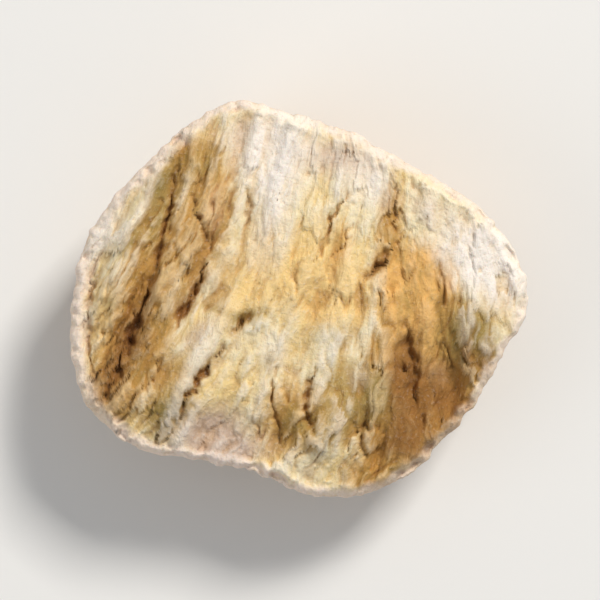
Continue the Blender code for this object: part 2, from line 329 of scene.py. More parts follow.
# On the wall, the pale rim's strength, the levels between which it comes up, how far its lower edge strays as
# a share of the wall's height, over what distance, and the power of the curve along which it stops straying
RIM_ON_WALL = 0.9
RIM_FADE_BAND = (0.60, 1.05)
RIM_FADE_REACH = 0.55
RIM_FADE_SIZE = 0.8
RIM_FADE_LAYER = 5.0
RIM_FADE_POWER = 4

# The bark's share of the colour at the rim, the level from which it goes down to that, and how far the bark
# and the shade of its furrows reach in over the face
BARK_AT_RIM = 0.6
BARK_FADE_LEVEL = 0.85
BARK_REACH = 0.08
FURROW_REACH = 0.2

# How dark the line along a wrinkle is, and how much of the wall's relief counts as a cavity, for the painted
# shade in hollows and painted highlights on crowns
WRINKLE_SHADE = 0.7
WALL_CAVITY = 0.9

# How far the bark sinks in below the rim, the power of the curve along which it comes out to it, that of the
# curve along which its relief fades towards the rim, and how softly it is held in under the rim's line
BARK_SINK = 0.13
BARK_SINK_POWER = 5
BARK_FADE_POWER = 8
WALL_SOFTNESS = 0.08

# Patches of colour on the upper face, placed one by one
# The stain, ochre and olive patches at the lower right, and the olive ones of the lower part, are partly
# painted shadow and painted shade, darker there than the root's own colour
PATCHES = {
    "ochre": [
        Swell(-3.05, 0.30, 0.88, 2.20, 0.42, 0.66),
        Swell(-3.50, -1.60, 0.55, 0.80, 0.30, 0.60),
        Swell(-2.60, -1.60, 0.40, 0.60, 0.40, 0.40),
        Swell(-1.75, 1.90, 0.45, 1.10, 0.20, 0.42),
        Swell(-1.50, 0.50, 0.30, 0.55, 0.40, 0.45),
        Swell(-2.90, -0.90, 0.30, 0.50, 0.40, 0.25),
        Swell(0.55, 1.30, 0.25, 0.90, 0.20, 0.25),
        Swell(0.50, -0.25, 0.30, 0.32, 0.00, 0.50),
        Swell(1.55, -0.95, 0.25, 0.35, 0.00, 0.38),
        Swell(1.80, 1.70, 0.28, 0.95, 0.15, 0.70),
        Swell(-2.30, 3.05, 0.40, 0.40, 0.30, 0.55),
        Swell(-0.15, -2.40, 0.75, 0.90, 0.00, 0.60),
        Swell(1.95, -2.35, 0.75, 1.05, 0.05, 1.00),
        Swell(1.35, -3.65, 0.55, 0.40, 0.10, 0.70),
        Swell(2.80, -1.60, 0.80, 1.30, -0.10, 1.00),
    ],
    "honey": [
        Swell(-0.90, 0.35, 0.75, 0.60, 0.30, 0.80),
        Swell(0.35, 0.90, 0.80, 0.90, 0.10, 0.75),
        Swell(0.75, 0.15, 0.85, 0.60, 0.00, 1.00),
        Swell(-0.80, 1.35, 0.35, 0.60, 0.20, 0.60),
        Swell(-1.45, -0.35, 0.45, 0.45, 0.40, 0.40),
        Swell(4.05, -0.10, 0.45, 0.45, 0.00, 0.45),
        Swell(-1.85, 1.95, 0.35, 0.55, 0.20, 0.50),
        Swell(-4.00, -0.20, 0.25, 0.75, 0.20, 0.80),
    ],
    "amber": [
        Swell(2.40, 0.40, 0.70, 0.75, 0.00, 1.30),
        Swell(2.35, -0.60, 0.60, 0.80, 0.00, 0.90),
        Swell(-1.78, 2.10, 0.36, 0.75, 0.20, 0.48),
        Swell(0.30, 0.05, 0.80, 0.30, 0.00, 0.30),
        Swell(0.85, 1.15, 0.22, 0.55, 0.20, 0.50),
    ],
    "olive": [
        Swell(-1.90, 2.85, 0.38, 0.45, 0.20, 0.50),
        Swell(-2.90, 1.65, 0.28, 0.75, 0.35, 0.60),
        Swell(-2.85, 2.45, 0.20, 0.45, 0.40, 0.75),
        Swell(-3.50, 1.20, 0.20, 0.40, 0.60, 0.50),
        Swell(-2.65, -2.30, 0.45, 0.60, 0.30, 0.95),
        Swell(-1.05, -0.30, 0.45, 0.22, 0.90, 0.55),
        Swell(-1.70, -0.16, 0.28, 0.16, -2.50, 0.45),
        Swell(1.30, -2.10, 0.60, 0.55, 0.10, 0.60),
        Swell(0.80, -1.55, 0.65, 0.40, 0.00, 0.45),
        Swell(1.66, -1.75, 0.22, 0.45, 0.00, 0.60),
        Swell(0.10, -2.60, 0.80, 0.50, 0.00, 0.45),
        Swell(0.70, -0.70, 0.60, 0.30, 0.00, 0.42),
        Swell(4.05, -0.10, 0.45, 0.45, 0.00, 0.28),
        Swell(0.90, 3.05, 0.14, 0.28, 0.20, 0.75),
        Swell(-0.63, -1.18, 0.13, 0.22, 0.00, 0.70),
        Swell(3.50, -0.80, 0.55, 0.75, -0.30, 1.10),
    ],
    "blush": [
        Swell(-1.90, -2.70, 0.85, 0.60, 0.20, 0.90),
        Swell(-2.10, -0.70, 0.30, 0.45, 0.50, 0.60),
        Swell(-1.75, 1.95, 0.35, 0.70, 0.20, 0.38),
        Swell(-1.10, 3.45, 0.75, 0.50, 0.00, 0.50),
        Swell(0.80, 2.95, 1.00, 0.45, -0.30, 0.70),
        Swell(-1.20, -3.10, 0.60, 0.35, 0.20, 0.60),
        Swell(2.60, 1.90, 0.50, 0.50, -0.50, 0.45),
        Swell(2.75, -1.60, 0.30, 0.40, 0.00, 0.45),
    ],
    "chalk": [
        Swell(-0.55, 3.10, 0.85, 0.95, 0.20, 0.95),
        Swell(1.35, 2.50, 0.65, 0.80, -0.10, 0.65),
        Swell(-0.60, 1.50, 0.55, 1.30, 0.15, 0.52),
        Swell(3.75, 0.85, 0.85, 1.00, -0.50, 1.20),
        Swell(1.10, -0.75, 0.70, 0.45, 0.00, 0.30),
        Swell(1.16, -1.58, 0.30, 0.36, 0.00, 0.42),
        Swell(-0.50, -1.00, 0.50, 0.60, 0.10, 0.40),
        Swell(-3.90, 1.35, 0.35, 0.60, 0.50, 0.60),
    ],
    "stain_and_shadow": [
        Swell(-3.50, -0.70, 0.34, 1.00, 0.35, 0.80),
        Swell(-3.95, -1.75, 0.34, 0.60, 0.30, 0.65),
        Swell(-3.05, -0.90, 0.22, 0.40, 0.35, 0.45),
        Swell(2.12, -1.60, 0.44, 1.05, 0.00, 1.05),
        Swell(3.05, -2.00, 0.60, 0.80, -0.40, 0.90),
        Swell(2.20, -2.95, 0.70, 0.45, 0.20, 0.80),
        Swell(2.42, -2.30, 0.40, 0.40, 0.00, 0.45),
        Swell(3.65, -1.20, 0.38, 0.45, -0.50, 0.70),
        Swell(-2.15, 1.60, 0.16, 0.60, 0.10, 0.35),
        Swell(1.66, 0.88, 0.16, 0.24, 0.20, 0.80),
    ],
}


def smooth_step(value, low, high):
    """0 at low, 1 at high, with level ends."""
    share = np.clip((value - low) / (high - low), 0.0, 1.0)
    return share * share * (3.0 - 2.0 * share)


def at_least(least, share):
    """A share from 0 to 1, moved so that it starts from the least."""
    return least + (1.0 - least) * share


def noise_at(x, y, z, octaves=1, falloff=1.0):
    """Smooth noise, about -1 to 1, at each point of three arrays or numbers."""
    x, y, z = np.broadcast_arrays(x, y, z)
    points = zip(x.ravel().tolist(), y.ravel().tolist(), z.ravel().tolist())
    return np.array([noise.fractal(point, falloff, 2.0, octaves) for point in points]).reshape(x.shape)


def field_at(field, across, along):
    """A field's noise at places given across and along the fibres."""
    return noise_at(across / field.across, along / field.along, field.layer, field.octaves)


def cells_at(x, y, layer):
    """Uneven cells over a plane: how far each place is from its cell's middle, and the cell's number."""
    nearness = []
    numbers = []
    for place in zip(x.ravel().tolist(), y.ravel().tolist()):
        distances, centres = noise.voronoi((*place, layer))
        nearness.append(distances[0])
        numbers.append(0.5 + 0.5 * noise.cell(centres[0] * CELL_SHUFFLE))
    return np.array(nearness).reshape(x.shape), np.array(numbers).reshape(x.shape)


def polar_rim():
    """The outline's bearings and distances, in order, with one turn's overlap each way."""
    bearings = np.arctan2(OUTLINE[:, 1], OUTLINE[:, 0]) % math.tau
    order = np.argsort(bearings)
    bearings = bearings[order]
    reaches = np.hypot(OUTLINE[:, 0], OUTLINE[:, 1])[order]
    around = np.concatenate([bearings[-2:] - math.tau, bearings, bearings[:2] + math.tau])
    return around, np.concatenate([reaches[-2:], reaches, reaches[:2]])


def outline_reach(bearing):
    """Distance from the middle to the outline along each bearing, smooth through the outline's points."""
    around, reaches = polar_rim()
    bearing = bearing % math.tau
    place = np.searchsorted(around, bearing, side="right") - 1
    a0, a1, a2, a3 = (around[place + step] for step in (-1, 0, 1, 2))
    r0, r1, r2, r3 = (reaches[place + step] for step in (-1, 0, 1, 2))
    span = a2 - a1
    t = (bearing - a1) / span
    slope_1 = (r2 - r0) / (a2 - a0) * span
    slope_2 = (r3 - r1) / (a3 - a1) * span
    return (
        (2 * t ** 3 - 3 * t ** 2 + 1) * r1
        + (t ** 3 - 2 * t ** 2 + t) * slope_1
        + (3 * t ** 2 - 2 * t ** 3) * r2
        + (t ** 3 - t ** 2) * slope_2
    )


def rim_radius(bearing):
    """The rounding of the upper edge along each bearing."""
    return RIM_RADIUS + RIM_RADIUS_SWING * np.cos(bearing - RIM_BROAD_BEARING)


def wall_share(bearing, level):
    """How far out the wall stands, as a share of the outline; the level is 0 at the foot and 1 at the rim."""
    inset = FOOT_INSET + FOOT_INSET_SWING * np.cos(bearing - FOOT_INSET_BEARING)
    place = (CRUMPLES[0] * np.cos(bearing), CRUMPLES[1] * np.sin(bearing), CRUMPLES[2] * level)
    crumple = noise_at(*place, CRUMPLE_OCTAVES, CRUMPLE_FALLOFF) - CRUMPLE_SINK
    dent = CRUMPLE_DEPTH * crumple * (1.0 - level ** 2)
    drawn_in = inset * (1.0 - level) ** FOOT_INSET_POWER
    return np.minimum(1.0 - drawn_in + WALL_BULGE * np.sin(math.pi * level) + dent, 1.0)


def crack_depth(x, y, cracks):
    """The depth of the deepest crack at each point of a face; cracks are ragged and narrow to their ends."""
    ragged = RAGGED_REACH * field_at(RAGGED, x, y)
    ragged += JOG_REACH * terraces(field_at(JOGS, x, y), JOG_STEPS, JOG_RISER)
    width_share = np.clip(1.0 + CRACK_WIDTH_SWING * field_at(RAGGED_WIDTH, x, y), *CRACK_WIDTH_RANGE)
    bridge = at_least(BRIDGE_SHARE, smooth_step(field_at(BRIDGES, x, y), *BRIDGE_BAND))
    deepest = np.zeros_like(x)
    for crack in cracks:
        joints = np.array(crack.route)
        for index, (start, end) in enumerate(zip(joints, joints[1:])):
            run = end - start
            across, along = x + ragged - start[0], y - start[1]
            share = np.clip((across * run[0] + along * run[1]) / (run @ run), 0.0, 1.0)
            gap = np.hypot(across - run[0] * share, along - run[1] * share)
            way = (index + share) / (len(joints) - 1)
            open_share = at_least(CRACK_END_SHARE, np.sin(math.pi * way))
            half_width = crack.half_width * width_share * (1.0 + open_share) / 2
            core = np.maximum(1.0 - (gap / half_width) ** 2, 0.0) * bridge
            trough = np.exp(-(gap / (TROUGH_WIDTH * crack.half_width)) ** 2)
            profile = (1.0 - TROUGH_SHARE) * core + TROUGH_SHARE * trough
            deepest = np.maximum(deepest, crack.depth * open_share * profile)
    return deepest


def swell_height(x, y, swells):
    """The sum of swells and hollows at each point of a face."""
    total = np.zeros_like(x)
    for swell in swells:
        along = (y - swell.y) / swell.along
        across = (x - swell.x - swell.lean * (y - swell.y)) / swell.across
        total += swell.height * np.exp(-across ** 2 - along ** 2)
    return total


def slope_drop(x, y):
    """How far the face has fallen away towards its outer parts."""
    drop = np.zeros_like(x)
    for slope in FACE_SLOPES:
        out = x * math.cos(slope.bearing) + y * math.sin(slope.bearing)
        drop += slope.drop * smooth_step(out, slope.start, slope.end)
    return drop


def rounding(radius, gap):
    """How far a rounded edge has dropped, at a distance in from it."""
    inner = np.maximum(radius - gap, 0.0)
    return radius - np.sqrt(np.maximum(radius ** 2 - inner ** 2, 0.0))


def terraces(height, steps, riser):
    """A height cut into steps with level treads, which rise over a share of each step."""
    scaled = height * steps
    tread = np.floor(scaled)
    return (tread + smooth_step(scaled - tread, 1.0 - riser, 1.0)) / steps


def fibre_coordinates(x, y):
    """Distances across and along the fibres, which lean, fan out and wander."""
    straight = x - y * (FIBRE_LEAN - FIBRE_FAN * x)
    wander = WANDER_REACH * field_at(WANDER, x, y) + KINK_REACH * field_at(KINKS, x, y)
    return straight, straight + wander, y


def golden_share(x, y):
    """How golden and how torn the face is, from 0 where it is pale and calm to 1."""
    strong = swell_height(x, y, PATCHES["ochre"] + PATCHES["amber"] + PATCHES["stain_and_shadow"])
    olive, chalk = (swell_height(x, y, PATCHES[name]) for name in ("olive", "chalk"))
    return np.clip(strong + (GOLDEN_FROM_OLIVE * olive - GOLDEN_LOST_TO_CHALK * chalk), 0.0, 1.0)


def torn_relief(x, y):
    """The torn face's relief above its main form, and masks of what makes it."""
    straight, across, along = fibre_coordinates(x, y)
    frayed = along + FRAY_REACH * field_at(FRAYS, across, along)
    torn = smooth_step(field_at(TORN, x, y), *TORN_BAND)
    golden = golden_share(x, y)
    flaky = np.clip(golden + ROUGH_FROM_HONEY * swell_height(x, y, PATCHES["honey"]), 0.0, 1.0)
    calm = ROUGH_LOST_TO_CHALK * np.clip(swell_height(x, y, PATCHES["chalk"]), 0.0, 1.0)
    rough = at_least(ROUGH_IF_PALE, flaky) * at_least(ROUGH_IF_WHOLE, torn) * (1.0 - calm)

    near, lump = cells_at(across / LUMP_ACROSS, frayed / LUMP_ALONG, LUMP_LAYER)
    lumps = LUMP_DOME * (LUMP_LEVEL - near ** 2) + LUMP_STEP * (lump - 0.5)
    ledges = terraces(field_at(LEDGES, across, frayed), LEDGE_STEPS, LEDGE_RISER)
    valley = field_at(CREVICES, across, along)
    broken = smooth_step(field_at(CREVICE_BREAKS, across, along), *CREVICE_BAND)
    crevice = np.exp(-(valley / CREVICE_WIDTH) ** 2) * broken * rough
    strands = STRAND_HEIGHT * (np.abs(field_at(STRANDS, across, along)) - STRAND_LEVEL)
    _, tufts = cells_at(across / TUFT_ACROSS, frayed / TUFT_ALONG, TUFT_LAYER)
    away, chance = cells_at(x / PORE_SPACING, y / PORE_SPACING, PORE_LAYER)
    pore = np.maximum(1.0 - (away / PORE_RADIUS) ** 2, 0.0) * (chance < PORE_SHARE)
    crust = CRUST_HEIGHT * field_at(CRUST, x, y)
    cracks = crack_depth(x, y, FACE_CRACKS)

    relief = swell_height(x, y, FACE_SWELLS) + BUNDLE_HEIGHT * field_at(BUNDLES, straight, along)
    steps = LEDGE_HEIGHT * ledges + TUFT_STEP * (tufts - 0.5)
    relief += rough * steps + at_least(STRANDS_IF_CALM, rough) * strands
    relief += at_least(LUMPS_IF_CALM, rough) * lumps
    relief += crust - PORE_DEPTH * pore - CREVICE_DEPTH * crevice - cracks
    return relief, {"crack": cracks, "crevice": crevice, "ledge": ledges, "tuft": tufts, "golden": golden}


def edge_gap(x, y):
    """How far in from the outline each point lies."""
    return outline_reach(np.arctan2(y, x)) - np.hypot(x, y)


def face_surface(x, y):
    """The torn face's height, and masks of the relief that makes it."""
    gap = np.maximum(edge_gap(x, y), 0.0)
    nibbles = field_at(NIBBLES, x, y)
    edge = smooth_step(gap, 0.0, RIM_CLEAR)
    inside = smooth_step(gap + NIBBLE_REACH * nibbles, RIM_CLEAR, RIM_BLEND) * edge
    relief, masks = torn_relief(x, y)
    rim_crust = RIM_CRUST * CRUST_HEIGHT * field_at(CRUST, x, y)
    nick = NICK_DEPTH * smooth_step(field_at(NICKS, x, y), *NICK_BAND)
    rim_relief = (rim_crust - nick * edge) * (1.0 - inside)
    radius = rim_radius(np.arctan2(y, x))
    lip = LIP_HEIGHT * np.exp(-((gap - radius) / LIP_WIDTH) ** 2) * (LIP_SHARE + nibbles)
    height = FACE_HEIGHT - slope_drop(x, y) + relief * inside + rim_relief + lip - rounding(radius, gap)
    return height, {name: values * inside for name, values in masks.items()}


def box_blur(grid, rows, columns):
    """A grid averaged over rectangles that reach so many rows and columns each way."""
    sums = np.pad(grid, ((rows + 1, rows), (columns + 1, columns)), mode="edge").cumsum(axis=0).cumsum(axis=1)
    tall, wide = 2 * rows + 1, 2 * columns + 1
    total = sums[tall:, wide:] - sums[:-tall, wide:] - sums[tall:, :-wide] + sums[:-tall, :-wide]
    return total / (tall * wide)


def square_grid(across, along):
    """A grid over a square from -1 to 1, as shares of the way out from a disc's middle, and bearings."""
    u, v = np.meshgrid(np.linspace(-1, 1, across + 1), np.linspace(-1, 1, along + 1))
    disc_across = u * np.sqrt(1.0 - v * v / 2)
    disc_along = v * np.sqrt(1.0 - u * u / 2)
    bearing = np.arctan2(disc_along, disc_across)
    share = np.minimum(np.hypot(disc_across, disc_along), 1.0)
    share += RIM_CROWDING * np.sin(math.pi * share)
    return share, bearing + GRID_TURN + GRID_TURN_SWING * np.cos(bearing)


def border(grid):
    """The values along a grid's edge, once around."""
    return np.concatenate([grid[0, :-1], grid[:-1, -1], grid[-1, :0:-1], grid[:0:-1, 0]])


def bark_relief(bearing, level):
    """How far the bark stands out from the wall, and 1 in the furrows of its wrinkles."""
    x, y, z = np.cos(bearing) * MEAN_REACH, np.sin(bearing) * MEAN_REACH, level * FACE_HEIGHT
    wrinkle = noise_at((x + BARK_LEAN * z) / WRINKLE_SPACING, y / WRINKLE_SPACING, z / WRINKLE_LENGTH, 3)
    fold = noise_at((x - BARK_LEAN * z) / FOLD_SPACING, y / FOLD_SPACING, FOLD_LAYER + z / FOLD_LENGTH, 2)
    ring = noise_at(x / RING_LENGTH, y / RING_LENGTH, RING_LAYER + z / RING_SPACING, 3)
    gaps = noise_at(x / RING_BREAK_SIZE, y / RING_BREAK_SIZE, RING_BREAK_LAYER + z / RING_BREAK_SIZE)
    crust = noise_at(x / BARK_CRUST_SIZE, y / BARK_CRUST_SIZE, z / BARK_CRUST_SIZE, 3)
    scar = np.exp(-(ring / RING_WIDTH) ** 2) * smooth_step(gaps, *RING_BREAK_BAND)
    out = FOLD_CREST * np.abs(fold) - FOLD_FURROW + WRINKLE_CREST * np.abs(wrinkle) - WRINKLE_FURROW
    line = WRINKLE_SHADE * np.exp(-(wrinkle / WRINKLE_LINE) ** 2)
    return out - RING_DEPTH * scar + BARK_CRUST * crust, np.maximum(scar, line)


def rim_left(x, y):
    """How much of the pale rim is left: less where the stains and the painted shadow reach it, as painted
    shade.
    """
    stain_and_shadow_cover = swell_height(x, y, PATCHES["stain_and_shadow"])
    stain_and_shadow_cover += RIM_WEAR_AND_SHADE_FROM_OCHRE * swell_height(x, y, PATCHES["ochre"])
    return 1.0 - RIM_WEAR_AND_SHADE * np.clip(stain_and_shadow_cover, 0.0, 1.0)


def rim_band(bearing):
    """How wide the pale rim is along each bearing, as a multiple of its usual width."""
    return 1.0 + RIM_BAND_SWING * np.maximum(np.cos(bearing - RIM_BAND_BEARING), 0.0) ** 2


def make_upper_face():
    """The torn face: its points in millimetres and its masks, as grids."""
    share, bearing = square_grid(CELLS_ACROSS, CELLS_ALONG)
    reach = share * outline_reach(bearing)
    x, y = reach * np.cos(bearing), reach * np.sin(bearing)
    z, masks = face_surface(x, y)
    gap = edge_gap(x, y)
    out, furrow = bark_relief(bearing, np.ones_like(bearing))
    out = out * RIM_WRINKLES * (1.0 - smooth_step(gap, 0.0, RIM_WRINKLE_REACH))
    _, across, along = fibre_coordinates(x, y)
    for name, patches in PATCHES.items():
        masks[name] = np.clip(swell_height(x, y, patches), 0.0, 1.0)
    masks["vein"] = np.exp(-(field_at(VEINS, across, along) / VEIN_WIDTH) ** 2)
    masks["cavity"] = z - box_blur(z, *CAVITY_CELLS)
    masks["lump"] = z - box_blur(z, *LUMP_CELLS)
    nibbled = gap + NIBBLE_REACH * field_at(NIBBLES, x, y)
    masks["rim"] = (1.0 - smooth_step(nibbled / rim_band(bearing), *PALE_BAND)) * rim_left(x, y)
    masks["bark"] = BARK_AT_RIM * (1.0 - smooth_step(gap, 0.0, BARK_REACH))
    masks["furrow"] = furrow * (1.0 - smooth_step(gap, 0.0, FURROW_REACH))
    masks |= {"fibre_across": across, "fibre_along": along, "fibre_up": z}
    return np.stack([x + out * np.cos(bearing), y + out * np.sin(bearing), z], axis=-1), masks


def make_underside():
    """The knife cut: its points in millimetres and its masks, as coarser grids."""
    share, bearing = square_grid(CELLS_ACROSS // 2, CELLS_ALONG // 2)
    foot = np.zeros_like(bearing)
    rim = outline_reach(bearing) * wall_share(bearing, foot) + bark_relief(bearing, foot)[0] - BARK_SINK
    reach = share * rim
    x, y = reach * np.cos(bearing), reach * np.sin(bearing)
    gap = rim - reach
    inside = smooth_step(gap, RIM_CLEAR, RIM_BLEND)
    _, across, along = fibre_coordinates(x, y)
    cracks = crack_depth(x, y, UNDERSIDE_CRACKS) * inside
    grain = GRAIN_HEIGHT * np.abs(field_at(UNDERSIDE_GRAIN, across, along)) * inside
    z = cracks + grain + rounding(FOOT_RADIUS, gap)
    masks = {"crack": cracks, "cavity": box_blur(z, *UNDERSIDE_CELLS) - z, "bark": 1.0 - inside}
    masks |= {"fibre_across": across, "fibre_along": along, "fibre_up": z}
    return np.stack([x, y, z], axis=-1), masks


def make_wall():
    """The bark wall between the two faces: its points in millimetres and its masks, row by row."""
    _, bearing = square_grid(CELLS_ACROSS // 2, CELLS_ALONG // 2)
    level, bearing = np.meshgrid(np.arange(1, WALL_ROWS) / WALL_ROWS, border(bearing), indexing="ij")
    out, furrow = bark_relief(bearing, level)
    rim = outline_reach(bearing)
    rim_height = FACE_HEIGHT - slope_drop(rim * np.cos(bearing), rim * np.sin(bearing)) - rim_radius(bearing)
    reach = rim * wall_share(bearing, level)
    reach += out * (1.0 - (1.0 - RIM_WRINKLES) * level ** BARK_FADE_POWER)
    reach -= BARK_SINK * (1.0 - level ** BARK_SINK_POWER)
    room = rim + RIM_WRINKLES * bark_relief(bearing, np.ones_like(level))[0] - reach
    soft = WALL_SOFTNESS * (1.0 - level)
    reach += (room - np.sqrt(room ** 2 + soft ** 2)) / 2
    z = FOOT_RADIUS + level * (rim_height - FOOT_RADIUS)
    x, y = reach * np.cos(bearing), reach * np.sin(bearing)
    _, across, along = fibre_coordinates(x, y)
    masks = {"furrow": furrow, "cavity": WALL_CAVITY * out}
    masks["bark"] = 1.0 - (1.0 - BARK_AT_RIM) * smooth_step(level, BARK_FADE_LEVEL, 1.0)
    ragged = noise_at(x / RIM_FADE_SIZE, y / RIM_FADE_SIZE, RIM_FADE_LAYER + z / RIM_FADE_SIZE, 3)
    ragged = RIM_FADE_REACH * ragged * (1.0 - level ** RIM_FADE_POWER)
    masks["rim"] = RIM_ON_WALL * smooth_step(level + ragged, *RIM_FADE_BAND) * rim_left(x, y)
    masks |= {"fibre_across": across, "fibre_along": along, "fibre_up": z}
    return np.stack([x, y, z], axis=-1), masks


def grid_quads(index):
    """The quads between a grid's points, facing up."""
    corners = [index[:-1, :-1], index[:-1, 1:], index[1:, 1:], index[1:, :-1]]
    return np.stack(corners, axis=-1).reshape(-1, 4)


def slice_faces(upper, under, wall):
    """The faces of the closed slice, from the index grids of its three parts."""
    rows = np.vstack([border(under), wall])
    rows = np.hstack([rows, rows[:, :1]])
    rim = np.append(border(upper), border(upper)[0])
    faces = grid_quads(upper).tolist() + grid_quads(under)[:, ::-1].tolist() + grid_quads(rows).tolist()
    for place, (left, right) in enumerate(zip(rows[-1, :-1].tolist(), rows[-1, 1:].tolist())):
        first, middle, last = rim[2 * place:2 * place + 3].tolist()
        faces.append([left, middle, first])
        faces.append([left, right, middle])
        faces.append([right, last, middle])
    return faces


def add_masks(mesh, masks):
    """Stores each mask on the mesh, one number for each vertex."""
    for name, values in masks.items():
        attribute = mesh.attributes.new(name, "FLOAT", "POINT")
        attribute.data.foreach_set("value", values.astype(np.float32))


def make_object(name, points, faces, masks, material):
    """A smooth-shaded object of the given points in metres."""
    mesh = bpy.data.meshes.new(name)
    mesh.from_pydata(points.tolist(), [], faces)
    add_masks(mesh, masks)
    mesh.shade_smooth()
    mesh.materials.append(material)
    made = bpy.data.objects.new(name, mesh)
    bpy.context.scene.collection.objects.link(made)
    return made


def fit_to_frame(points):
    """How to take points in millimetres to the solid's own box in metres: a scale and a shift."""
    low, high = (np.array(corner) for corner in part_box("ginseng_slice"))
    scale = (high - low) / (points.max(axis=0) - points.min(axis=0))
    return scale, low - points.min(axis=0) * scale


def make_slice(material):
    """The finer slice, as one closed piece."""
    parts = [make_upper_face(), make_underside(), make_wall()]
    points = np.concatenate([part.reshape(-1, 3) for part, _ in parts])
    masks = {}
    for name in parts[0][1]:
        values = [part_masks.get(name, np.zeros(part.shape[:2])).ravel() for part, part_masks in parts]
        masks[name] = np.concatenate(values)
    indices = []
    first = 0
    for part, _ in parts:
        rows, columns = part.shape[:2]
        indices.append(np.arange(first, first + rows * columns).reshape(rows, columns))
        first += rows * columns
    scale, shift = fit_to_frame(points)
    return make_object("root_slice", points * scale + shift, slice_faces(*indices), masks, material)


def linear(red, green, blue):
    """A screen colour, 0 to 255, as the linear colour that shaders take."""
    shares = [value / 255 for value in (red, green, blue)]
    return [s / 12.92 if s <= 0.04045 else ((s + 0.055) / 1.055) ** 2.4 for s in shares] + [1.0]


# The palette, as seen in plain light
IVORY = linear(245, 229, 191)
CREAM = linear(239, 210, 148)
STRAW = linear(232, 190, 116)
OCHRE = linear(190, 142, 72)
HONEY = linear(248, 212, 144)
AMBER = linear(236, 184, 108)
OLIVE = linear(160, 136, 76)
BLUSH = linear(206, 182, 162)
PEACH = linear(246, 216, 168)
CHALK = linear(247, 237, 226)
BROWN = linear(150, 104, 50)
# The dark deep in the cracks, which is painted shade
CRACK_SHADE = linear(118, 68, 30)
RIM = linear(240, 221, 208)
BARK = linear(212, 174, 124)
BARK_PALE = linear(232, 206, 166)
BARK_DARK = linear(150, 102, 56)

# The tone of each kind of patch, laid on in this order
TINTS = {"ochre": OCHRE, "honey": HONEY, "amber": AMBER, "olive": OLIVE, "blush": BLUSH}

# The sizes in millimetres, across the fibres and along them, of the colours' streaks and clouds and of the
# bump's fibres. All change this much more slowly upwards than across the fibres.
STREAK_SIZE = (0.13, 0.80)
CLOUD_SIZE = (0.6, 1.0)
BUMP_SIZE = (0.035, 0.35)
UP_STRETCH = 3.0

# The sizes in millimetres of the starch grains, and of the bark's mottling and specks
GRAIN_SIZE = 0.07
MOTTLE_SIZE = 0.5
SPECK_SIZE = 0.16

# The detail and the roughness of each of these noises, and how far the streaks are distorted
STREAK_NOISE = (4.0, 0.65, 0.5)
CLOUD_NOISE = (3.0, 0.6)
BUMP_NOISE = (3.0, 0.65)
GRAIN_NOISE = (2.0, 0.6)
MOTTLE_NOISE = (5.0, 0.65)
SPECK_NOISE = (2.0, 0.5)

# Below, a band is the stretch of a value over which a colour changes. A tint is a colour's strength, and its
# two numbers, where it has two, are for the two ends of another value.

# The face's tone: how much high ledges and tufts lighten it, and its bands from ivory to cream and from straw
# to ochre. Then how much the streaks count in what is golden, and its band.
LEDGE_TONE = 0.8
TUFT_TONE = 0.3
PALE_BAND_OF_TONE = (0.6, 1.3)
RICH_BAND_OF_TONE = (0.7, 1.3)
GOLDEN_FROM_STREAKS = 0.6
GOLDEN_BAND = (0.15, 0.75)

# How much the height over the wider ground counts beside that over the ground close by
LUMP_SHARE = 0.4

# Patches: how much streaks and the painted shade of hollows add to one, its band, and the band over which it
# starts
PATCH_FROM_STREAKS = 0.35
PATCH_FROM_HOLLOW_SHADE = 0.2
PATCH_BAND = (0.15, 0.8)
PATCH_START_BAND = (0.0, 0.25)

# Ochre in the hollows, which is painted warm shade, and olive in the veins, from a pale face to a golden one,
# and the streaks' band that shows the veins
HOLLOW_SHADE_TINT = (0.30, 0.60)
VEIN_TINT = (0.10, 0.5)
VEIN_BAND = (0.35, 0.6)

# Chalk: how much the clouds count in it, its band, and its tint from open ground to a hollow, where less of
# it is painted shade
CHALK_FROM_CLOUDS = 0.6
CHALK_BAND = (0.2, 0.8)
CHALK_TINT = (1.0, 0.4)

# Painted highlights on the crowns: the band of amber or honey that dims them, their tint at its ends, and the
# band of ochre over which they go from chalk to peach
CROWN_HIGHLIGHT_GOLD_BAND = (0.1, 0.7)
CROWN_HIGHLIGHT_TINT = (0.45, 0.08)
PEACH_HIGHLIGHT_BAND = (0.1, 0.6)

# The band of the stains and the painted shadow, and how brown the crevices are, partly as painted shade
STAIN_AND_SHADOW_BAND = (0.25, 1.0)
CREVICE_TINT = 0.6

# The bark: its mottling's band, the bands and tints of its clouds, streaks and specks, and its furrows' tint
MOTTLE_BAND = (0.38, 0.62)
BARK_CLOUDS = (0.48, 0.72, 0.0, 0.5)
BARK_STREAKS = (0.52, 0.72, 0.0, 0.45)
BARK_SPECKS = (0.64, 0.72, 0.0, 0.5)
FURROW_TINT = 0.7

# The rim: the band of chalk that whitens it, and its tint from ridge to furrow
RIM_CHALK_BAND = (0.0, 0.6)
RIM_TINT = (0.8, 0.4)

# Starch grains: the band and tint of the ochre between them, and those of their chalk, from a pale face to a
# golden one
GRAIN_GAPS = (0.3, 0.42, 0.25, 0.0)
GRAIN_BAND = (0.55, 0.75)
GRAIN_TINT = (0.3, 0.12)

# In millimetres, how far below or above the ground around it a hollow or a crown starts to change colour and
# has changed fully, by painted shade in a hollow and a painted highlight on a crown, and the depths of cracks
# between which they turn brown and then dark, the dark being painted shade
HOLLOW_BAND = (0.0, -0.09)
CROWN_BAND = (0.01, 0.09)
BROWN_DEPTHS = (0.03, 0.25)
CRACK_SHADE_DEPTHS = (0.25, 0.55)

# How far light goes into the root, in millimetres for red, green and blue, and how much of it does
LIGHT_REACH = (0.30, 0.18, 0.09)
LIGHT_SHARE = 0.06

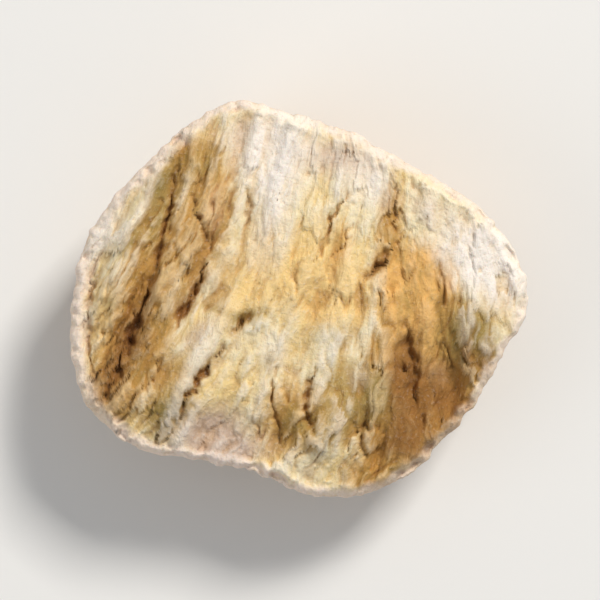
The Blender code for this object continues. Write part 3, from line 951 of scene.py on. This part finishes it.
# The fine bump's strength and height in millimetres, the root's sheen, and its roughness over a band of the
# streaks
BUMP_STRENGTH = 0.9
BUMP_HEIGHT = 0.03
SHEEN = 0.3
MATT_BAND = (0.3, 0.7)
MATT_RANGE = (0.7, 0.9)

# The sockets of a mix node that take and give colours
MIX_FIRST = 6
MIX_SECOND = 7
MIX_RESULT = 2

# The floor, in metres
FLOOR_SIZE = 0.8
FLOOR_COLOUR = (0.82, 0.81, 0.79, 1)
FLOOR_ROUGHNESS = 0.9

# A square lamp that faces the slice, in metres and watts: a soft key from the upper right, and a weak fill
# from the left
Lamp = namedtuple("Lamp", "name place size power colour")
LAMPS = [
    Lamp("key", (0.12, 0.16, 0.20), 0.07, 0.68, (1.0, 0.97, 0.92)),
    Lamp("fill", (-0.20, -0.06, 0.14), 0.16, 0.10, (0.94, 0.97, 1.0)),
]

# The pale surround
WORLD_COLOUR = (0.95, 0.97, 1.0, 1)
WORLD_STRENGTH = 0.38

# The camera, in millimetres: its lens and sensor, the width that it takes in at the slice's height, and the
# distance from which it sees
LENS = 200
SENSOR = 36
VIEW_WIDTH = 12.3
VIEW_START = 1


class Nodes:
    """Short names for making and joining a material's nodes."""

    def __init__(self, material):
        material.use_nodes = True
        self.tree = material.node_tree
        self.shader = self.tree.nodes["Principled BSDF"]

    def node(self, kind, **values):
        """A new node with the given settings."""
        made = self.tree.nodes.new(kind)
        for name, value in values.items():
            setattr(made, name, value)
        return made

    def feed(self, socket, value):
        """Joins an output to a socket, or sets the socket to a plain value."""
        if isinstance(value, bpy.types.NodeSocket):
            self.tree.links.new(value, socket)
        else:
            socket.default_value = value

    def mask(self, name):
        """A mask stored on the mesh."""
        made = self.node("ShaderNodeAttribute", attribute_type="GEOMETRY", attribute_name=name)
        return made.outputs["Fac"]

    def math(self, operation, first, second):
        """Two values put together by one operation."""
        made = self.node("ShaderNodeMath", operation=operation)
        self.feed(made.inputs[0], first)
        self.feed(made.inputs[1], second)
        return made.outputs[0]

    def plus(self, first, second):
        return self.math("ADD", first, second)

    def minus(self, first, second):
        return self.math("SUBTRACT", first, second)

    def times(self, first, second):
        return self.math("MULTIPLY", first, second)

    def mix(self, factor, first, second):
        """The first colour, gone over to the second by the factor."""
        made = self.node("ShaderNodeMix", data_type="RGBA")
        self.feed(made.inputs[0], factor)
        self.feed(made.inputs[MIX_FIRST], first)
        self.feed(made.inputs[MIX_SECOND], second)
        return made.outputs[MIX_RESULT]

    def range(self, value, low, high, to_low=0.0, to_high=1.0):
        """A value's place between low and high, held between them and moved to another range."""
        made = self.node("ShaderNodeMapRange", clamp=True)
        for socket, given in zip(made.inputs, (value, low, high, to_low, to_high)):
            self.feed(socket, given)
        return made.outputs[0]

    def between(self, share, first, second):
        """The first number, gone over to the second by the share."""
        return self.range(share, 0.0, 1.0, first, second)

    def fibre_place(self, across, along):
        """A place along the fibres, in units of a width and a length."""
        made = self.node("ShaderNodeCombineXYZ")
        self.feed(made.inputs[0], self.math("DIVIDE", self.mask("fibre_across"), across))
        self.feed(made.inputs[1], self.math("DIVIDE", self.mask("fibre_along"), along))
        self.feed(made.inputs[2], self.math("DIVIDE", self.mask("fibre_up"), UP_STRETCH * across))
        return made.outputs[0]

    def plain_place(self, size):
        """A place on the object, in units of a size in millimetres."""
        coordinates = self.node("ShaderNodeTexCoord")
        made = self.node("ShaderNodeVectorMath", operation="SCALE")
        self.feed(made.inputs[0], coordinates.outputs["Object"])
        made.inputs["Scale"].default_value = 1.0 / (size * MM)
        return made.outputs[0]

    def noise(self, place, detail, rough, distortion=0.0):
        """Smooth noise at a place, 0 to 1."""
        made = self.node("ShaderNodeTexNoise")
        made.inputs["Scale"].default_value = 1.0
        made.inputs["Detail"].default_value = detail
        made.inputs["Roughness"].default_value = rough
        made.inputs["Distortion"].default_value = distortion
        self.feed(made.inputs["Vector"], place)
        return made.outputs["Fac"]


def face_colour(n, streaks, clouds):
    """Cream starch with streaks and patches of colour, painted shade in its hollows and deep in its cracks,
    and painted highlights on its crowns.
    """
    streaky = n.minus(streaks, 0.5)
    cloudy = n.minus(clouds, 0.5)

    # pale starch, and golden fibres where the face is torn
    steps = n.plus(n.times(n.mask("ledge"), LEDGE_TONE), n.times(n.mask("tuft"), TUFT_TONE))
    tone = n.plus(n.minus(streaks, steps), clouds)
    golden = n.plus(n.plus(n.mask("golden"), cloudy), n.times(streaky, GOLDEN_FROM_STREAKS))
    golden = n.range(golden, *GOLDEN_BAND)
    pale = n.mix(n.range(tone, *PALE_BAND_OF_TONE), IVORY, CREAM)
    rich = n.mix(n.range(tone, *RICH_BAND_OF_TONE), STRAW, OCHRE)
    colour = n.mix(golden, pale, rich)

    # patches, stronger along the streaks and in the painted shade of the hollows
    height = n.plus(n.mask("cavity"), n.times(n.mask("lump"), LUMP_SHARE))
    hollow_shade = n.range(height, *HOLLOW_BAND)
    crown_highlight = n.range(height, *CROWN_BAND)
    for name, tint in TINTS.items():
        patch = n.plus(n.mask(name), n.times(streaky, PATCH_FROM_STREAKS))
        patch = n.plus(patch, n.times(hollow_shade, PATCH_FROM_HOLLOW_SHADE))
        strength = n.times(n.range(patch, *PATCH_BAND), n.range(n.mask(name), *PATCH_START_BAND))
        colour = n.mix(strength, colour, tint)

    # ochre painted shade in the hollows, and olive veins
    colour = n.mix(n.times(hollow_shade, n.between(golden, *HOLLOW_SHADE_TINT)), colour, OCHRE)
    veins = n.times(n.mask("vein"), n.between(golden, *VEIN_TINT))
    colour = n.mix(n.times(veins, n.range(streaks, *VEIN_BAND)), colour, OLIVE)

    # chalk, and painted highlights on the crowns
    chalk = n.range(n.plus(n.mask("chalk"), n.times(cloudy, CHALK_FROM_CLOUDS)), *CHALK_BAND)
    colour = n.mix(n.times(chalk, n.between(hollow_shade, *CHALK_TINT)), colour, CHALK)
    highlight_strength = n.range(n.math("MAXIMUM", n.mask("amber"), n.mask("honey")), *CROWN_HIGHLIGHT_GOLD_BAND, *CROWN_HIGHLIGHT_TINT)
    highlight_colour = n.mix(n.range(n.mask("ochre"), *PEACH_HIGHLIGHT_BAND), CHALK, PEACH)
    colour = n.mix(n.times(crown_highlight, highlight_strength), colour, highlight_colour)

    # stains and painted shadow, then crevices and cracks, whose brown is partly painted shade
    colour = n.mix(n.range(n.plus(n.mask("stain_and_shadow"), streaky), *STAIN_AND_SHADOW_BAND), colour, BROWN)
    colour = n.mix(n.times(n.mask("crevice"), CREVICE_TINT), colour, BROWN)
    colour = n.mix(n.range(n.mask("crack"), *BROWN_DEPTHS), colour, BROWN)
    return n.mix(n.range(n.mask("crack"), *CRACK_SHADE_DEPTHS), colour, CRACK_SHADE)


def bark_colour(n, streaks, clouds):
    """Tan bark, mottled, streaked and specked, and darker in its furrows."""
    mottle = n.noise(n.plain_place(MOTTLE_SIZE), *MOTTLE_NOISE)
    specks = n.noise(n.plain_place(SPECK_SIZE), *SPECK_NOISE)
    colour = n.mix(n.range(mottle, *MOTTLE_BAND), BARK, BARK_PALE)
    colour = n.mix(n.range(clouds, *BARK_CLOUDS), colour, OCHRE)
    colour = n.mix(n.range(streaks, *BARK_STREAKS), colour, BARK_DARK)
    colour = n.mix(n.range(specks, *BARK_SPECKS), colour, BARK_DARK)
    return n.mix(n.times(n.mask("furrow"), FURROW_TINT), colour, BARK_DARK)


def root_material():
    """Dry, matt root: the torn face and the bark, with the pale rim and starch grains over both."""
    material = bpy.data.materials.new("dried_root")
    n = Nodes(material)
    streaks = n.noise(n.fibre_place(*STREAK_SIZE), *STREAK_NOISE)
    clouds = n.noise(n.fibre_place(*CLOUD_SIZE), *CLOUD_NOISE)
    grains = n.noise(n.plain_place(GRAIN_SIZE), *GRAIN_NOISE)
    fibres = n.noise(n.fibre_place(*BUMP_SIZE), *BUMP_NOISE)

    colour = n.mix(n.mask("bark"), face_colour(n, streaks, clouds), bark_colour(n, streaks, clouds))
    rim = n.mix(n.range(n.mask("chalk"), *RIM_CHALK_BAND), RIM, CHALK)
    rim_share = n.times(n.mask("rim"), n.between(n.mask("furrow"), *RIM_TINT))
    colour = n.mix(rim_share, colour, rim)
    colour = n.mix(n.range(grains, *GRAIN_GAPS), colour, OCHRE)
    starch = n.between(n.mask("golden"), *GRAIN_TINT)
    colour = n.mix(n.times(n.range(grains, *GRAIN_BAND), starch), colour, CHALK)
    n.feed(n.shader.inputs["Base Color"], colour)

    n.feed(n.shader.inputs["Roughness"], n.range(streaks, *MATT_BAND, *MATT_RANGE))
    n.shader.inputs["Specular IOR Level"].default_value = SHEEN
    n.shader.inputs["Subsurface Weight"].default_value = LIGHT_SHARE
    n.shader.inputs["Subsurface Radius"].default_value = [reach * MM for reach in LIGHT_REACH]
    n.shader.inputs["Subsurface Scale"].default_value = 1.0

    bump = n.node("ShaderNodeBump")
    bump.inputs["Strength"].default_value = BUMP_STRENGTH
    bump.inputs["Distance"].default_value = BUMP_HEIGHT * MM
    n.feed(bump.inputs["Height"], n.plus(fibres, grains))
    n.feed(n.shader.inputs["Normal"], bump.outputs[0])
    return material


def make_floor():
    """A plain pale table top under the slice."""
    bpy.ops.mesh.primitive_plane_add(size=FLOOR_SIZE, location=(0, 0, 0))
    floor = bpy.context.object
    floor.name = "floor"
    material = bpy.data.materials.new("floor_pale")
    material.use_nodes = True
    shader = material.node_tree.nodes["Principled BSDF"]
    shader.inputs["Base Color"].default_value = FLOOR_COLOUR
    shader.inputs["Roughness"].default_value = FLOOR_ROUGHNESS
    floor.data.materials.append(material)


def make_lights():
    """The lamps and the pale surround."""
    for lamp in LAMPS:
        light = bpy.data.lights.new(lamp.name, "AREA")
        light.size = lamp.size
        light.energy = lamp.power
        light.color = lamp.colour
        holder = bpy.data.objects.new(lamp.name, light)
        holder.location = lamp.place
        holder.rotation_euler = Vector(lamp.place).to_track_quat("Z", "Y").to_euler()
        bpy.context.scene.collection.objects.link(holder)
    world = bpy.data.worlds.new("studio")
    world.use_nodes = True
    background = world.node_tree.nodes["Background"]
    background.inputs["Color"].default_value = WORLD_COLOUR
    background.inputs["Strength"].default_value = WORLD_STRENGTH
    bpy.context.scene.world = world
    bpy.context.scene.view_settings.view_transform = "Standard"


def make_camera():
    """Looks straight down, as the photograph does, with the slice across most of the frame."""
    camera = bpy.data.cameras.new("camera")
    camera.lens = LENS
    camera.sensor_width = SENSOR
    camera.clip_start = VIEW_START * MM
    holder = bpy.data.objects.new("camera", camera)
    height = VIEW_WIDTH * MM / 2 / math.tan(camera.angle / 2)
    holder.location = (0.0, 0.0, height + FACE_HEIGHT * MM)
    bpy.context.scene.collection.objects.link(holder)
    bpy.context.scene.camera = holder


slice_piece = make_slice(root_material())
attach(slice_piece, "root")
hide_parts("ginseng_slice")
make_floor()
make_lights()
make_camera()
